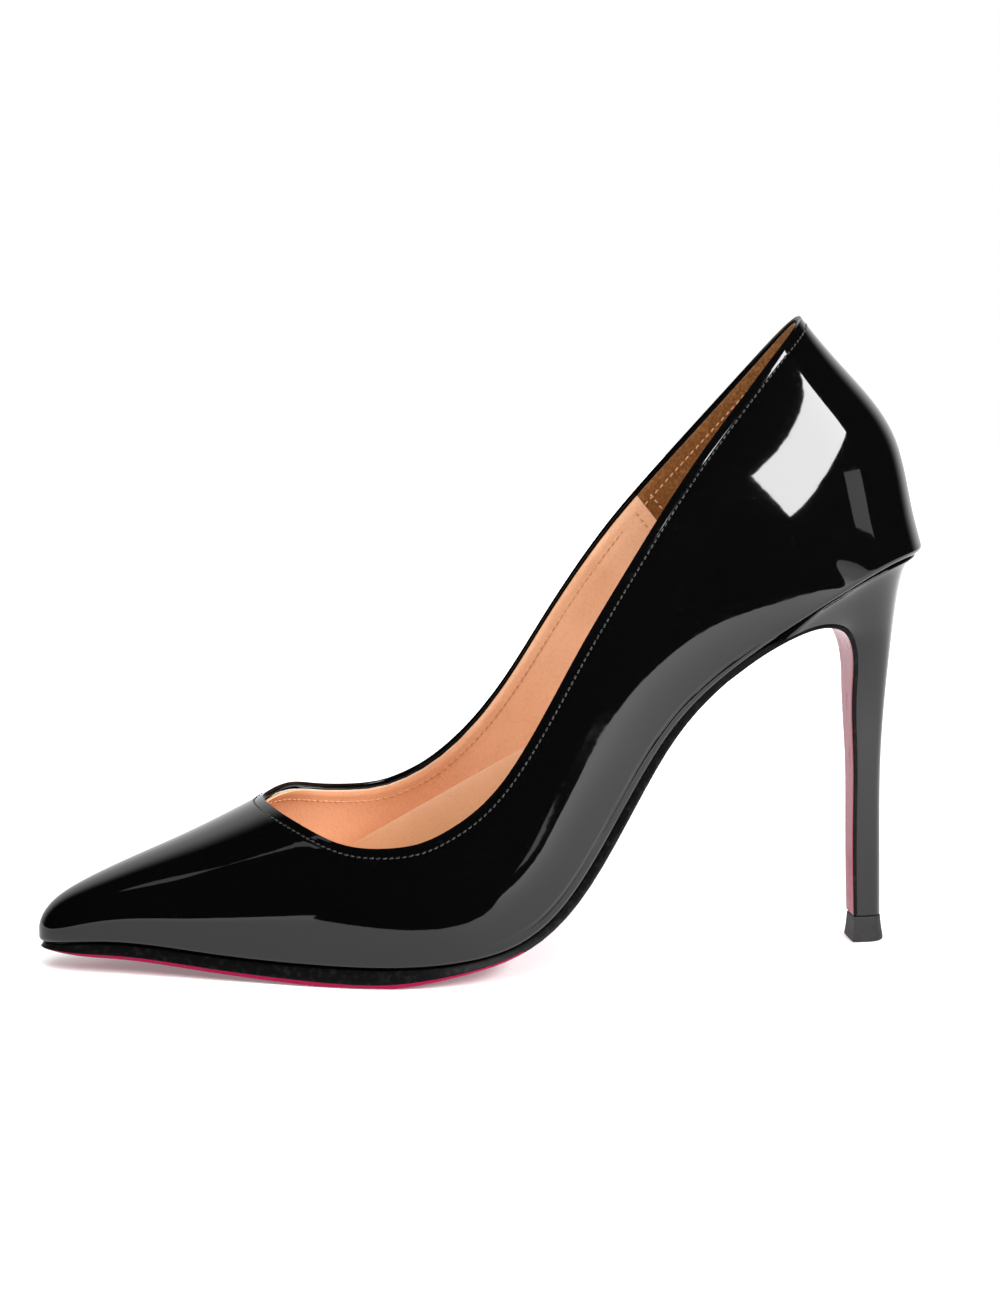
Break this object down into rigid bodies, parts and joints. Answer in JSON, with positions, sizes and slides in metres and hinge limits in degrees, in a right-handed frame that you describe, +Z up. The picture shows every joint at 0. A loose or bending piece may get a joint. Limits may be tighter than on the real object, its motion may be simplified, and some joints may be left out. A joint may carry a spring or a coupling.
{
  "type": "high heel pump",
  "caption": "Closed low-cut court shoe with a pointed toe, glossy black upper, tan lining, crimson sole and a slim covered stiletto heel.",
  "frame": {"origin": "middle of the overall footprint, on the ground the shoe stands on", "axes": "+X from the toe to the heel, +Y to the inner side of the foot (left shoe), +Z up"},
  "size_m": [0.2208, 0.0752, 0.1579],
  "materials": {
    "patent_leather": "gloss",
    "tan_leather": "satin",
    "suede": "matte",
    "cotton_tape": "matte",
    "stiffener": "matte",
    "fibreboard": "matte",
    "steel": "satin",
    "cork": "matte",
    "foam": "matte",
    "sole_leather": "gloss",
    "heel_plastic": "satin",
    "top_piece_rubber": "matte"
  },
  "bodies": {
    "root": {"upper": "patent_leather", "topline_tape": "cotton_tape", "lining": "tan_leather", "heel_grip": "suede", "toe_puff": "stiffener", "heel_counter": "stiffener", "insole_board": "fibreboard", "shank_board": "fibreboard", "shank": "steel", "bottom_filler": "cork", "sock_foam": "foam", "sock_lining": "tan_leather", "outsole": "sole_leather", "heel_block": "heel_plastic", "heel_cover": "patent_leather", "heel_pin": "steel", "top_piece": "top_piece_rubber", "top_piece_pin": "steel", "heel_screw": "steel", "screw_washer": "steel", "heel_nail_1": "steel", "heel_nail_2": "steel", "heel_nail_3": "steel", "heel_nail_4": "steel"}
  },
  "joints": []
}
